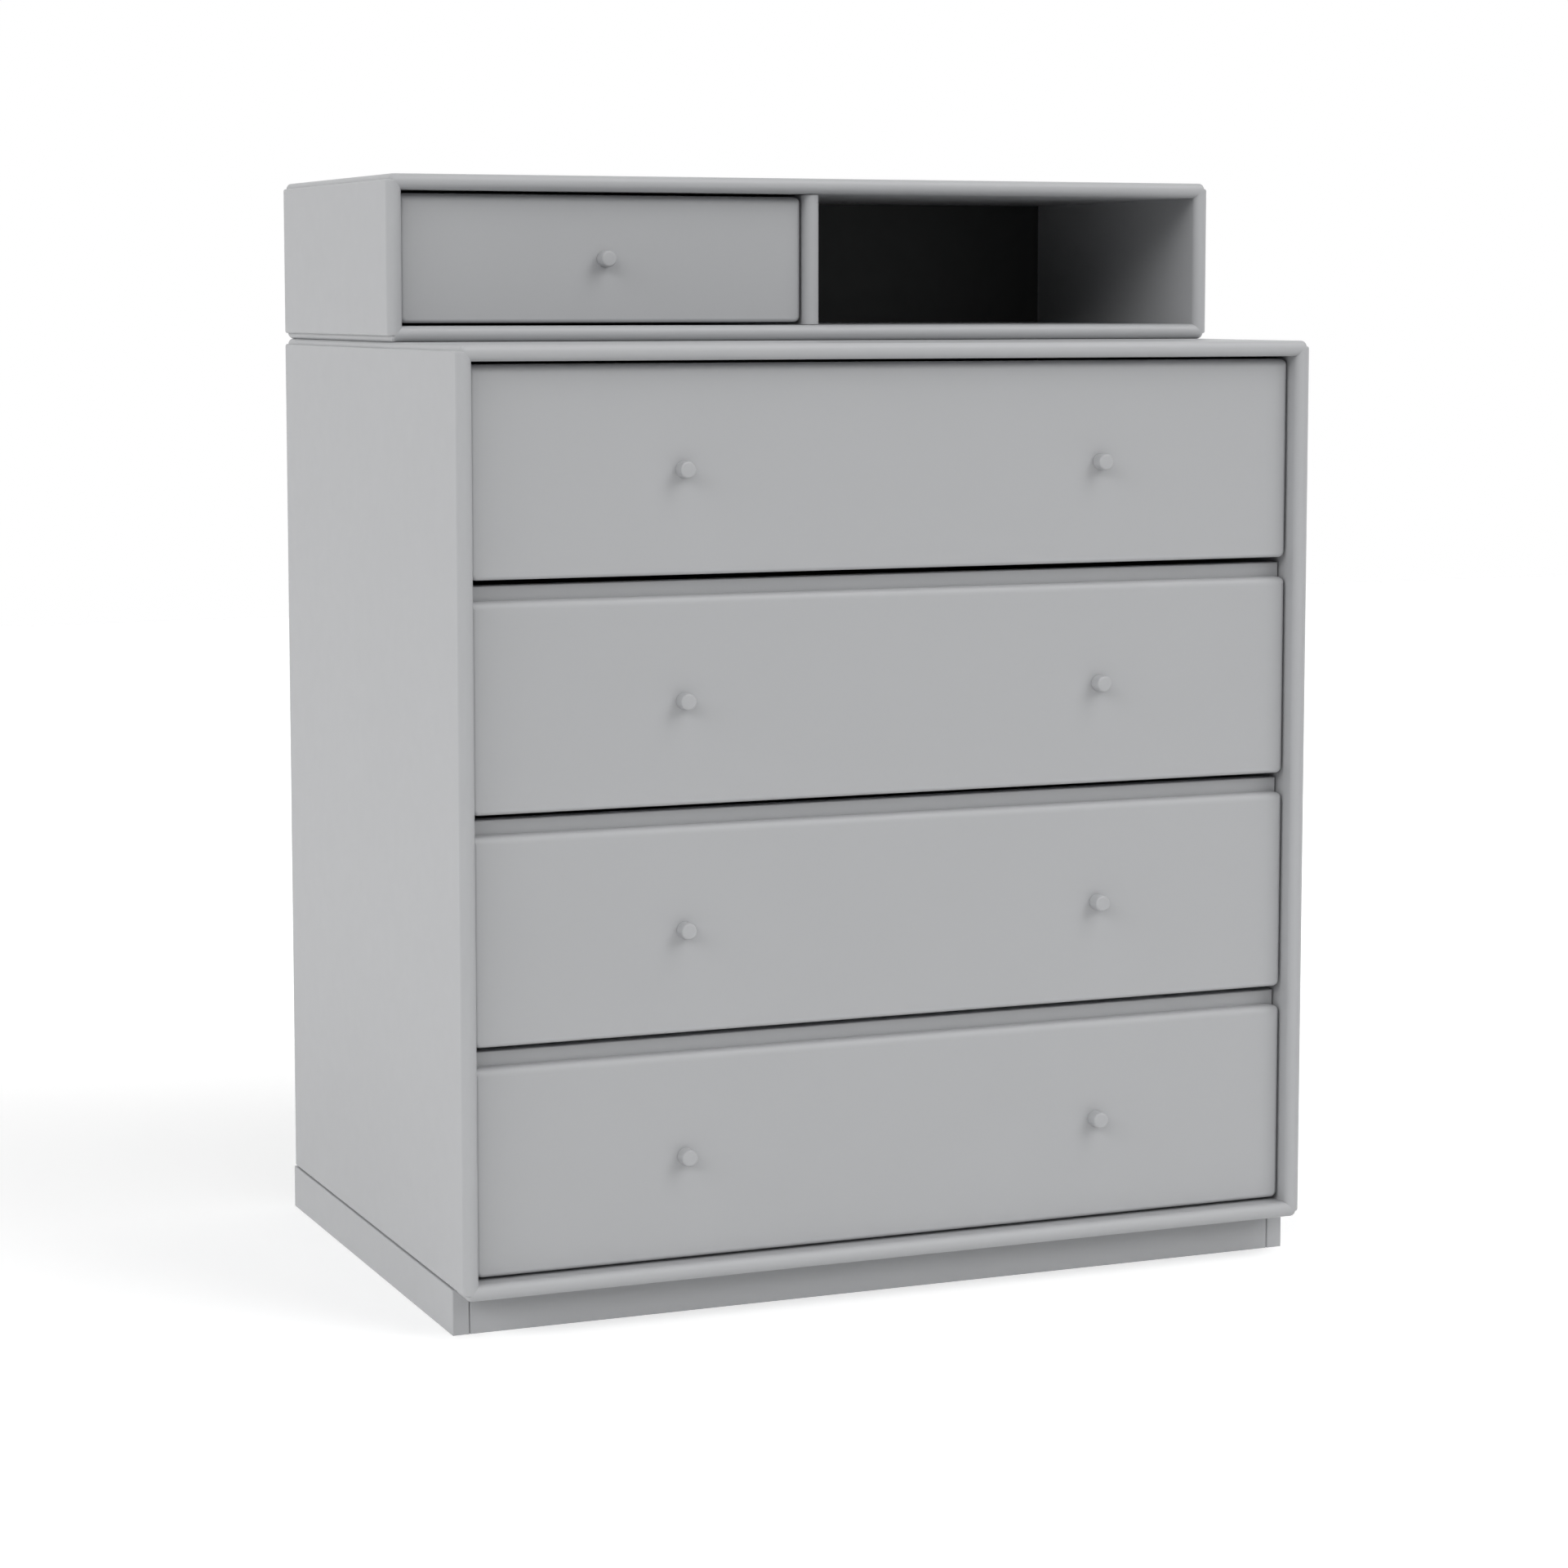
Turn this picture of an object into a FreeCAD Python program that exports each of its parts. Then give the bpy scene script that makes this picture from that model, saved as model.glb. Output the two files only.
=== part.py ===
import FreeCAD, Part
import math
import os
import Sketcher

# Chest on chest: a low module of four drawers, a shallower module with one drawer and an open
# compartment on top of it, and a plinth below. Millimetres. The origin is on the floor, midway
# between the sides and between front and back. +Z is up and the fronts face -Y.

V = FreeCAD.Vector

# Driving dimensions. Depths run from front to back, and gaps are clear distances.
SIZES = {
    # modules
    "cabinet_width": 696,
    "lower_depth": 468,
    "lower_height": 695,
    "upper_depth": 300,
    "upper_height": 126,
    # carcass boards, whose front and back edges are fully rounded
    "board_thick": 12,
    "lip_inset": 2.8,
    "lip_height": 4.4,
    "lip_round": 3.8,
    "lip_corner": 6,
    "ledge_round": 1.8,
    "partition_setback": 5,
    "partition_play": 0.6,
    "drawer_bay_width": 330,
    # back panels, held in grooves
    "back_thick": 8,
    "back_setback": 3,
    "groove_depth": 4,
    "groove_play": 0.1,
    # plinth, whose side rails stand up into the step under the sides
    "plinth_height": 31,
    "plinth_setback": 30,
    "rail_thick": 13,
    "rear_rail_setback": 20,
    "rail_bevel": 0.6,
    "seam_bevel": 0.8,
    "seam_gap": 0.4,
    "upstand_height": 3,
    "upstand_round": 1,
    "upstand_play": 0.2,
    # drawer fronts
    "front_setback": 14,
    "front_thick": 12,
    "front_round": 3,
    "front_top_round": 6,
    "front_corner": 5,
    "front_side_gap": 1.5,
    "front_end_gap": 2.25,
    "front_pitch_gap": 15.5,
    "finger_gap": 4.8,
    # drawer boxes
    "box_board": 12,
    "box_bevel": 0.6,
    "box_foot_gap": 8,
    "lower_box_height": 125,
    "upper_box_height": 70,
    "box_bottom_thick": 6,
    "box_bottom_rise": 10,
    "box_groove": 6,
    # telescopic runners, each a nest of three channels
    "runner_thick": 12.7,
    "runner_height": 45,
    "runner_sheet": 1.2,
    "runner_bend": 1.8,
    "runner_play": 0.3,
    "runner_screw_room": 2.5,
    "runner_start": 2,
    "lower_runner_length": 400,
    "upper_runner_length": 230,
    # knobs
    "knob_radius": 6.25,
    "knob_length": 12,
    "knob_tip_bevel": 0.8,
    "knob_inset": 177,
}

DRAWER_COUNT = 4
CUT_OVER = 5.0  # how far a cutting outline runs past the solid that it cuts

doc = FreeCAD.newDocument("chest_on_chest")
sheet = doc.addObject("Spreadsheet::Sheet", "Sizes")
for row, (alias, amount) in enumerate(SIZES.items(), start=1):
    sheet.set(f"A{row}", alias)
    sheet.set(f"B{row}", str(amount))
    sheet.setAlias(f"B{row}", alias)
doc.recompute()


class Size:
    """A length that holds its number and the sheet expression that gives it."""

    def __init__(self, number, text):
        self.number = float(number)
        self.text = text

    def __add__(self, other):
        return Size(self.number + number(other), f"({self.text} + {text(other)})")

    def __sub__(self, other):
        return Size(self.number - number(other), f"({self.text} - {text(other)})")

    def __mul__(self, factor):
        return Size(self.number * number(factor), f"({self.text} * {text(factor)})")

    def __truediv__(self, factor):
        return Size(self.number / number(factor), f"({self.text} / {text(factor)})")

    def __neg__(self):
        return Size(-self.number, f"(0 - {self.text})")

    __rmul__ = __mul__
    __radd__ = __add__

    def __rsub__(self, other):
        return Size(number(other) - self.number, f"({text(other)} - {self.text})")


def number(item):
    return item.number if isinstance(item, Size) else float(item)


def text(item):
    return item.text if isinstance(item, Size) else repr(float(item))


def size(alias):
    return Size(SIZES[alias], f"Sizes.{alias}")


def bind(item, prop, length):
    """Tie one property of an object to the sheet."""
    item.setExpression(prop, text(length))


# ---------------------------------------------------------------- sketches and features

def place(item, at, turn=0.0):
    """Put an object at a bound place, turned about its own Y axis."""
    item.Placement = FreeCAD.Placement(V(0, 0, 0), FreeCAD.Rotation(V(0, 1, 0), turn))
    for axis, length in zip("xyz", at):
        bind(item, f"Placement.Base.{axis}", length)


def new_body(label, at, turn=0.0):
    body = doc.addObject("PartDesign::Body", label)
    body.Label = label
    body.AllowCompound = True
    place(body, at, turn)
    return body


def origin_item(body, role):
    return [item for item in body.Origin.OriginFeatures if item.Role == role][0]


def new_sketch(body, role, name):
    """A sketch on one of the body's own origin planes."""
    sketch = body.newObject("Sketcher::SketchObject", f"{body.Label}_{name}")
    sketch.AttachmentSupport = [(origin_item(body, role), "")]
    sketch.MapMode = "FlatFace"
    return sketch


def pin_point(sketch, geometry, position, x, y):
    """Hold one point of a sketch at a bound place."""
    for kind, length in (("DistanceX", x), ("DistanceY", y)):
        rule = Sketcher.Constraint(kind, -1, 1, geometry, position, number(length))
        index = sketch.addConstraint(rule)
        sketch.setExpression(f"Constraints[{index}]", text(length))


def set_radius(sketch, geometry, radius):
    index = sketch.addConstraint(Sketcher.Constraint("Radius", geometry, number(radius)))
    sketch.setExpression(f"Constraints[{index}]", text(radius))


def join(sketch, kind, first, first_point, second, second_point):
    rule = Sketcher.Constraint(kind, first, first_point, second, second_point)
    sketch.addConstraint(rule)


def corner_arc(corner, before, after, radius):
    """Tangent points, arc and turning sense of one rounded corner of an outline."""
    towards = [(point - corner).normalize() for point in (before, after)]
    half = towards[0].getAngle(towards[1]) / 2
    start, end = [corner + way * (radius / math.tan(half)) for way in towards]
    middle = (towards[0] + towards[1]).normalize()
    centre = corner + middle * (radius / math.sin(half))
    left_turn = (corner - before).cross(after - corner).z > 0
    first, last = (start, end) if left_turn else (end, start)
    angles = [math.atan2(point.y - centre.y, point.x - centre.x) for point in (first, last)]
    if angles[1] < angles[0]:
        angles[1] += 2 * math.pi
    arc = Part.ArcOfCircle(Part.Circle(centre, V(0, 0, 1), radius), angles[0], angles[1])
    return start, end, arc, left_turn


def outline(sketch, corners):
    """Closed outline through corners (x, y), or (x, y, radius) where a corner is rounded."""
    points = [V(number(corner[0]), number(corner[1]), 0) for corner in corners]
    count = len(points)
    starts, ends, arcs = [], [], {}
    for index, corner in enumerate(corners):
        start = end = points[index]
        if len(corner) == 3:
            neighbours = points[index - 1], points[(index + 1) % count]
            start, end, arc, left_turn = corner_arc(points[index], *neighbours, number(corner[2]))
            arcs[index] = (sketch.addGeometry(arc, False), left_turn)
        starts.append(start)
        ends.append(end)
    lines = []
    for index in range(count):
        segment = Part.LineSegment(ends[index], starts[(index + 1) % count])
        lines.append(sketch.addGeometry(segment, False))
    for index, corner in enumerate(corners):
        before, after = lines[index - 1], lines[index]
        if index not in arcs:
            join(sketch, "Coincident", before, 2, after, 1)
            pin_point(sketch, after, 1, corner[0], corner[1])
            continue
        arc, left_turn = arcs[index]
        enter, leave = (1, 2) if left_turn else (2, 1)
        tip = sketch.addGeometry(Part.Point(points[index]), True)
        pin_point(sketch, tip, 1, corner[0], corner[1])
        sketch.addConstraint(Sketcher.Constraint("PointOnObject", tip, 1, before))
        sketch.addConstraint(Sketcher.Constraint("PointOnObject", tip, 1, after))
        join(sketch, "Tangent", before, 2, arc, enter)
        join(sketch, "Tangent", arc, leave, after, 1)
        set_radius(sketch, arc, corner[2])


def round_edge(sketch, x, middle, radius, angle):
    """Half circle about (x, middle), drawn from the given angle; a board's rounded edge."""
    shape = Part.Circle(V(number(x), number(middle), 0), V(0, 0, 1), number(radius))
    index = sketch.addGeometry(Part.ArcOfCircle(shape, angle, angle + math.pi), False)
    pin_point(sketch, index, 3, x, middle)
    set_radius(sketch, index, radius)
    return index


def long_face(sketch, start, end, height):
    ends = [V(number(x), number(height), 0) for x in (start, end)]
    return sketch.addGeometry(Part.LineSegment(*ends), False)


def rounded_both_ends(sketch, low, high, base, thick):
    """A long section from low to high whose two ends are half circles."""
    radius = thick / 2
    near, far = low + radius, high - radius
    right = round_edge(sketch, far, base + radius, radius, -math.pi / 2)
    left = round_edge(sketch, near, base + radius, radius, math.pi / 2)
    under = long_face(sketch, near, far, base)
    over = long_face(sketch, far, near, base + thick)
    join(sketch, "Tangent", under, 2, right, 1)
    join(sketch, "Tangent", right, 2, over, 1)
    join(sketch, "Tangent", over, 2, left, 1)
    join(sketch, "Tangent", left, 2, under, 1)


def rounded_low_end(sketch, low, high, base, thick):
    """A long section from low to high with a half circle at its low end only."""
    radius = thick / 2
    near = low + radius
    left = round_edge(sketch, near, base + radius, radius, math.pi / 2)
    under = long_face(sketch, near, high, base)
    over = long_face(sketch, high, near, base + thick)
    ends = [V(number(high), number(height), 0) for height in (base, base + thick)]
    closing = sketch.addGeometry(Part.LineSegment(*ends), False)
    join(sketch, "Tangent", over, 2, left, 1)
    join(sketch, "Tangent", left, 2, under, 1)
    join(sketch, "Coincident", under, 2, closing, 1)
    join(sketch, "Coincident", closing, 2, over, 1)
    pin_point(sketch, closing, 1, high, base)
    pin_point(sketch, closing, 2, high, base + thick)


def rectangle(sketch, low, high):
    outline(sketch, [(low[0], low[1]), (high[0], low[1]), (high[0], high[1]), (low[0], high[1])])


def corner_waste(sketch, x, y, x_way, y_way, radius):
    """Waste round the outside of a solid's corner at (x, y), which points along both ways."""
    outline(sketch, [
        (x, y, radius), (x - radius * 2 * x_way, y), (x - radius * 2 * x_way, y + CUT_OVER * y_way),
        (x + CUT_OVER * x_way, y + CUT_OVER * y_way),
        (x + CUT_OVER * x_way, y - radius * 2 * y_way), (x, y - radius * 2 * y_way)])


def add_feature(body, kind, sketch, length, both_ways=False, flip=False):
    """Pad or Pocket a sketch, one way or by half the length each way."""
    feature = body.newObject(f"PartDesign::{kind}", f"{sketch.Name}_{kind.lower()}")
    feature.Profile = sketch
    if both_ways:
        feature.SideType = "Symmetric"
    feature.Reversed = flip
    bind(feature, "Length", length)
    sketch.Visibility = False
    return feature


def turn_about_line(body, sketch, start, end):
    """Revolve a sketch about a construction line that it gets from start to end."""
    ends = [V(number(x), number(y), 0) for x, y in (start, end)]
    line = sketch.addGeometry(Part.LineSegment(*ends), True)
    pin_point(sketch, line, 1, *start)
    pin_point(sketch, line, 2, *end)
    turned = body.newObject("PartDesign::Revolution", f"{sketch.Name}_turned")
    turned.Profile = sketch
    turned.ReferenceAxis = (sketch, ["Axis0"])
    turned.Angle = 360
    sketch.Visibility = False
    return turned


def front_edges(shape, face_y):
    """Names of the edges that lie in the plane y = face_y."""
    found = []
    for index, edge in enumerate(shape.Edges, start=1):
        box = edge.BoundBox
        if abs(box.YMin - face_y) < 1e-4 and abs(box.YMax - face_y) < 1e-4:
            found.append(f"Edge{index}")
    return found


# ---------------------------------------------------------------- shared places

width = size("cabinet_width")
half_width = width / 2
board = size("board_thick")
lower_front = -size("lower_depth") / 2
rear = size("lower_depth") / 2
upper_front = rear - size("upper_depth")
lower_base = size("plinth_height")
lower_top = lower_base + size("lower_height")
inner_half = half_width - board
partition_left = -inner_half + size("drawer_bay_width")
partition_front = upper_front + size("partition_setback")
back_face = rear - size("back_setback") - size("back_thick")
rail_front = lower_front + size("plinth_setback")
rail_rear = rear - size("rear_rail_setback")

PARTS = []


# ---------------------------------------------------------------- carcasses

def board_end_cut(sketch, length, side, is_lip):
    """Waste at one end of a board: a mitre, then a lip on a top or bottom, or a ledge on a side."""
    end = length / 2
    lip = board - size("lip_height")
    if is_lip:
        stop = end - size("lip_inset")
        radius = size("lip_round")
        shoulder = [(end - size("lip_height"), lip), (stop, lip), (stop, board, radius)]
    else:
        stop = end - size("lip_height")
        radius = size("ledge_round")
        shoulder = [(stop, lip), (stop, board, radius)]
    corners = [(end - board - CUT_OVER, -CUT_OVER)]
    corners += shoulder
    corners += [
        (stop - radius * 2, board),
        (stop - radius * 2, board + CUT_OVER),
        (end + CUT_OVER, board + CUT_OVER),
        (end + CUT_OVER, -CUT_OVER),
    ]
    outline(sketch, [(corner[0] * side,) + tuple(corner[1:]) for corner in corners])


def lip_corners(body, stop, depth):
    """Round the four corners of the lips, seen from above, down to the ledges of the sides."""
    plan = new_sketch(body, "XY_Plane", "lip_corners")
    bind(plan, "AttachmentOffset.Base.z", board)
    for x_way in (-1, 1):
        for y, y_way in ((0, -1), (depth, 1)):
            corner_waste(plan, stop * x_way, y, x_way, y_way, size("lip_corner"))
    add_feature(body, "Pocket", plan, size("lip_height"))


def carcass_board(label, length, depth, at, turn, is_lip):
    """A board along X, its front edge at y = 0 and its inner face at z = 0."""
    body = new_body(label, at, turn)
    section = new_sketch(body, "YZ_Plane", "section")
    rounded_both_ends(section, 0, depth, 0, board)
    add_feature(body, "Pad", section, length, both_ways=True)
    ends = new_sketch(body, "XZ_Plane", "ends")
    for side in (1, -1):
        board_end_cut(ends, length, side, is_lip)
    add_feature(body, "Pocket", ends, depth * 2 + CUT_OVER, both_ways=True)
    if is_lip:
        lip_corners(body, length / 2 - size("lip_inset"), depth)
    groove = new_sketch(body, "YZ_Plane", "groove")
    groove_back = depth - size("back_setback") + size("groove_play")
    groove_front = groove_back - size("back_thick") - size("groove_play") * 2
    rectangle(groove, (groove_front, -CUT_OVER), (groove_back, size("groove_depth")))
    add_feature(body, "Pocket", groove, length + CUT_OVER, both_ways=True)
    PARTS.append(body)


def carcass(name, front, depth, base, height):
    """Top, bottom, left and right boards of one module, and its back panel."""
    ceiling = (0, front, base + height - board)
    floor = (0, front, base + board)
    left_wall, right_wall = [(x, front, base + height / 2) for x in (-inner_half, inner_half)]
    carcass_board(f"{name}_top_board", width, depth, ceiling, 0, True)
    carcass_board(f"{name}_bottom_board", width, depth, floor, 180, True)
    carcass_board(f"{name}_left_side", height, depth, left_wall, -90, False)
    carcass_board(f"{name}_right_side", height, depth, right_wall, 90, False)
    reach = size("groove_depth") - size("groove_play")
    panel = doc.addObject("Part::Box", f"{name}_back_panel")
    panel.Label = f"{name}_back_panel"
    bind(panel, "Length", (inner_half + reach) * 2)
    bind(panel, "Width", size("back_thick"))
    bind(panel, "Height", height - board * 2 + reach * 2)
    place(panel, (-inner_half - reach, back_face, base + board - reach))
    PARTS.append(panel)


def partition():
    """Upright board between the upper drawer and the open compartment."""
    play = size("partition_play")
    foot = lower_top + board + play
    body = new_body("upper_partition", (partition_left, partition_front, foot))
    section = new_sketch(body, "XY_Plane", "section")
    depth = back_face - partition_front
    # The section lies along the sketch's X axis, so the sketch is turned to run front to back.
    section.AttachmentOffset = FreeCAD.Placement(V(0, 0, 0), FreeCAD.Rotation(V(0, 0, 1), 90))
    rounded_low_end(section, 0, depth, -board, board)
    add_feature(body, "Pad", section, size("upper_height") - board * 2 - play * 2)
    PARTS.append(body)


# ---------------------------------------------------------------- plinth

def plinth_rail(label, height, corners):
    body = new_body(label, (0, 0, 0))
    plan = new_sketch(body, "XY_Plane", "plan")
    outline(plan, corners)
    add_feature(body, "Pad", plan, height)
    PARTS.append(body)
    return body


def side_rail(label, side):
    """Side rail; its outer edge stands up beside the lip of the bottom board."""
    bevel, seam = size("rail_bevel"), size("seam_bevel")
    outer, inside = half_width * side, (half_width - size("rail_thick")) * side
    seat = size("plinth_height")
    top = seat + size("upstand_height")
    body = plinth_rail(label, top, [
        (outer, rail_front + bevel), (outer - bevel * side, rail_front),
        (inside + seam * side, rail_front), (inside, rail_front + seam),
        (inside, rear), (outer - bevel * side, rear), (outer, rear - bevel)])
    over = CUT_OVER * side
    stop = outer - (size("lip_inset") - size("upstand_play")) * side
    cove = size("lip_round") + size("upstand_play")
    step = new_sketch(body, "XZ_Plane", "step")
    outline(step, [
        (inside - over, seat), (stop, seat, cove),
        (stop, seat + cove * 2), (inside - over, seat + cove * 2)])
    add_feature(body, "Pocket", step, size("lower_depth") * 2, both_ways=True)
    crown = new_sketch(body, "XZ_Plane", "crown")
    corner_waste(crown, outer, top, side, 1, size("upstand_round"))
    add_feature(body, "Pocket", crown, size("lower_depth") * 2, both_ways=True)


def plinth():
    """Side rails that run through, and the front and rear rails between them."""
    rail, seam, height = size("rail_thick"), size("seam_bevel"), size("plinth_height")
    inner = half_width - rail
    face = inner - size("seam_gap")
    side_rail("plinth_left_rail", -1)
    side_rail("plinth_right_rail", 1)
    plinth_rail("plinth_front_rail", height, [
        (-face, rail_front + seam), (-face + seam, rail_front),
        (face - seam, rail_front), (face, rail_front + seam),
        (face, rail_front + rail), (-face, rail_front + rail)])
    plinth_rail("plinth_rear_rail", height, [
        (-inner, rail_rear - rail), (inner, rail_rear - rail),
        (inner, rail_rear), (-inner, rail_rear)])


# ---------------------------------------------------------------- runners

def channel(sketch, web_x, lip_x, middle_z, height):
    """Closed section of a sheet channel with its web at web_x and its flanges out to lip_x."""
    sheet_thick = size("runner_sheet")
    way = 1 if number(lip_x) > number(web_x) else -1
    bend = size("runner_bend")
    top, bottom = middle_z + height / 2, middle_z - height / 2
    inner_web = web_x + sheet_thick * way
    outline(sketch, [
        (web_x, bottom, bend), (lip_x, bottom), (lip_x, bottom + sheet_thick),
        (inner_web, bottom + sheet_thick), (inner_web, top - sheet_thick),
        (lip_x, top - sheet_thick), (lip_x, top), (web_x, top, bend)])


def runner_pair(sketch, member, wall_half, middle_z):
    """Left and right channels of one member; wall_half is where the bay's walls stand."""
    sheet_thick = size("runner_sheet")
    step = sheet_thick + size("runner_play")
    middle_web = sheet_thick + size("runner_screw_room")
    drawer_side = size("runner_thick")
    height = size("runner_height")
    # Distances from the wall: the web, then the far end of the flanges.
    web, lip, tall = {
        "cabinet": (0, drawer_side - step * 2, height),
        "middle": (middle_web, drawer_side - step, height - step * 2),
        "drawer": (drawer_side, middle_web + step, height - step * 4),
    }[member]
    for side in (1, -1):
        channel(sketch, (wall_half - web) * side, (wall_half - lip) * side, middle_z, tall)


def runner_node(label, member, wall_half, at, heights, length):
    body = new_body(label, at)
    section = new_sketch(body, "XZ_Plane", "section")
    for middle_z in heights:
        runner_pair(section, member, wall_half, middle_z)
    add_feature(body, "Pad", section, length, flip=True)
    PARTS.append(body)


# ---------------------------------------------------------------- drawers

def drawer_front(label, at, front_width, height):
    body = new_body(label, at)
    face = new_sketch(body, "XZ_Plane", "face")
    half, corner = front_width / 2, size("front_corner")
    outline(face, [(-half, 0, corner), (half, 0, corner),
                   (half, height, corner), (-half, height, corner)])
    pad = add_feature(body, "Pad", face, size("front_thick"), flip=True)
    doc.recompute()
    fillet = body.newObject("PartDesign::Fillet", f"{label}_edge")
    fillet.Base = (pad, front_edges(pad.Shape, 0.0))
    bind(fillet, "Radius", size("front_round"))
    crown = new_sketch(body, "YZ_Plane", "crown")
    corner_waste(crown, 0, height, -1, 1, size("front_top_round"))
    add_feature(body, "Pocket", crown, front_width + CUT_OVER, both_ways=True)
    PARTS.append(body)


def box_front(label, at, front_width, height):
    """Front board of the drawer box, with a groove for the bottom in its back face."""
    body = new_body(label, at)
    section = new_sketch(body, "YZ_Plane", "section")
    thick, bevel = size("box_board"), size("box_bevel")
    groove_low = size("box_foot_gap") + size("box_bottom_rise")
    groove_high = groove_low + size("box_bottom_thick")
    groove_floor = thick - size("box_groove")
    outline(section, [
        (0, 0), (thick, 0), (thick, groove_low), (groove_floor, groove_low),
        (groove_floor, groove_high), (thick, groove_high), (thick, height - bevel),
        (thick - bevel, height), (bevel, height), (0, height - bevel)])
    add_feature(body, "Pad", section, front_width, both_ways=True)
    PARTS.append(body)


def box_sides(label, at, box_half, height, length):
    """Both side boards of a drawer box, grooved for the bottom."""
    body = new_body(label, at)
    section = new_sketch(body, "XZ_Plane", "section")
    thick, bevel = size("box_board"), size("box_bevel")
    low = size("box_foot_gap")
    groove_low = low + size("box_bottom_rise")
    groove_high = groove_low + size("box_bottom_thick")
    top = low + height
    for side in (1, -1):
        outer, inner = box_half * side, (box_half - thick) * side
        groove_floor = (box_half - thick + size("box_groove")) * side
        outline(section, [
            (outer, low), (outer, top - bevel), (outer - bevel * side, top),
            (inner + bevel * side, top), (inner, top - bevel), (inner, groove_high),
            (groove_floor, groove_high), (groove_floor, groove_low), (inner, groove_low),
            (inner, low)])
    add_feature(body, "Pad", section, length, flip=True)
    PARTS.append(body)


def box_back(label, at, inner_width, height):
    """Back board of a drawer box, between its sides; its back face is at y = 0."""
    body = new_body(label, at)
    section = new_sketch(body, "YZ_Plane", "section")
    thick, bevel = size("box_board"), size("box_bevel")
    low = size("box_foot_gap")
    groove_low = low + size("box_bottom_rise")
    groove_high = groove_low + size("box_bottom_thick")
    groove_floor = -thick + size("box_groove")
    top = low + height
    outline(section, [
        (0, low), (0, top - bevel), (-bevel, top), (-thick + bevel, top), (-thick, top - bevel),
        (-thick, groove_high), (groove_floor, groove_high), (groove_floor, groove_low),
        (-thick, groove_low), (-thick, low)])
    add_feature(body, "Pad", section, inner_width, both_ways=True)
    PARTS.append(body)


def box_bottom(label, at, box_half, box_length):
    """Thin bottom panel, its edges in the grooves of the four boards."""
    reach = size("box_groove") - size("groove_play")
    half = box_half - size("box_board") + reach
    x, y, z = at
    panel = doc.addObject("Part::Box", label)
    panel.Label = label
    bind(panel, "Length", half * 2)
    bind(panel, "Width", box_length - size("box_board") + reach * 2)
    bind(panel, "Height", size("box_bottom_thick"))
    place(panel, (x - half, y - reach, z + size("box_foot_gap") + size("box_bottom_rise")))
    PARTS.append(panel)


def knobs_node(label, at, knobs):
    """Turned knobs in a row, standing on the front's face, with bevelled tips."""
    body = new_body(label, at)
    profile = new_sketch(body, "XY_Plane", "profile")
    radius, bevel, tip = size("knob_radius"), size("knob_tip_bevel"), -size("knob_length")
    x = knobs[0]
    outline(profile, [
        (x, tip), (x + radius - bevel, tip), (x + radius, tip + bevel), (x + radius, 0), (x, 0)])
    turned = turn_about_line(body, profile, (x, 0), (x, tip))
    if len(knobs) > 1:
        row = body.newObject("PartDesign::LinearPattern", f"{label}_row")
        row.Originals = [turned]
        row.Direction = (origin_item(body, "X_Axis"), [""])
        bind(row, "Length", knobs[-1] - knobs[0])
        row.Occurrences = len(knobs)
        body.Tip = row
    PARTS.append(body)


def drawer(name, centre_x, face_y, foot_z, bay_half, height, box_front_height, box_height,
           runner_length, knobs):
    """One drawer: front, box, knobs, the runner members on it, and the runners' middle members."""
    front_half = bay_half - size("front_side_gap")
    box_half = bay_half - size("runner_thick")
    box_face = face_y + size("front_thick")
    box_start = box_face + size("box_board")
    box_length = runner_length + size("runner_start")
    at_front = (centre_x, face_y, foot_z)
    at_box = (centre_x, box_start, foot_z)
    drawer_front(f"{name}_front", at_front, front_half * 2, height)
    box_front(f"{name}_box_front", (centre_x, box_face, foot_z), front_half * 2,
              box_front_height)
    box_sides(f"{name}_box_sides", at_box, box_half, box_height, box_length)
    box_back(f"{name}_box_back", (centre_x, box_start + box_length, foot_z),
             (box_half - size("box_board")) * 2, box_height)
    box_bottom(f"{name}_box_bottom", at_box, box_half, box_length)
    knobs_node(f"{name}_knobs", (centre_x, face_y, foot_z + height / 2), knobs)
    middle_z = size("box_foot_gap") + box_height / 2
    at_runner = (centre_x, box_start + size("runner_start"), foot_z)
    runner_node(f"{name}_runner_inner", "drawer", bay_half, at_runner, [middle_z], runner_length)
    runner_node(f"{name}_runner_middle", "middle", bay_half, at_runner, [middle_z], runner_length)


# ---------------------------------------------------------------- the whole chest

def lower_drawers():
    """Four equal drawers, numbered from the top, and the cabinet's runner members."""
    end_gap, between = size("front_end_gap"), size("front_pitch_gap")
    bay_height = size("lower_height") - board * 2
    gaps = end_gap * 2 + between * (DRAWER_COUNT - 1)
    height = (bay_height - gaps) / DRAWER_COUNT
    pitch = height + between
    face_y = lower_front + size("front_setback")
    box_height = size("lower_box_height")
    runner_length = size("lower_runner_length")
    foot = lower_base + board + end_gap
    knob_x = half_width - size("knob_inset")
    feet = []
    for place_from_top in range(1, DRAWER_COUNT + 1):
        foot_z = foot + pitch * (DRAWER_COUNT - place_from_top)
        feet.append(foot_z)
        headroom = between if place_from_top > 1 else end_gap
        drawer(f"drawer_{place_from_top}", 0, face_y, foot_z, inner_half, height,
               height + headroom - size("finger_gap"), box_height, runner_length,
               [-knob_x, knob_x])
    start_y = face_y + size("front_thick") + size("box_board") + size("runner_start")
    heights = [foot_z + size("box_foot_gap") + box_height / 2 for foot_z in feet]
    runner_node("lower_cabinet_runners", "cabinet", inner_half, (0, start_y, 0), heights,
                runner_length)


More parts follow.
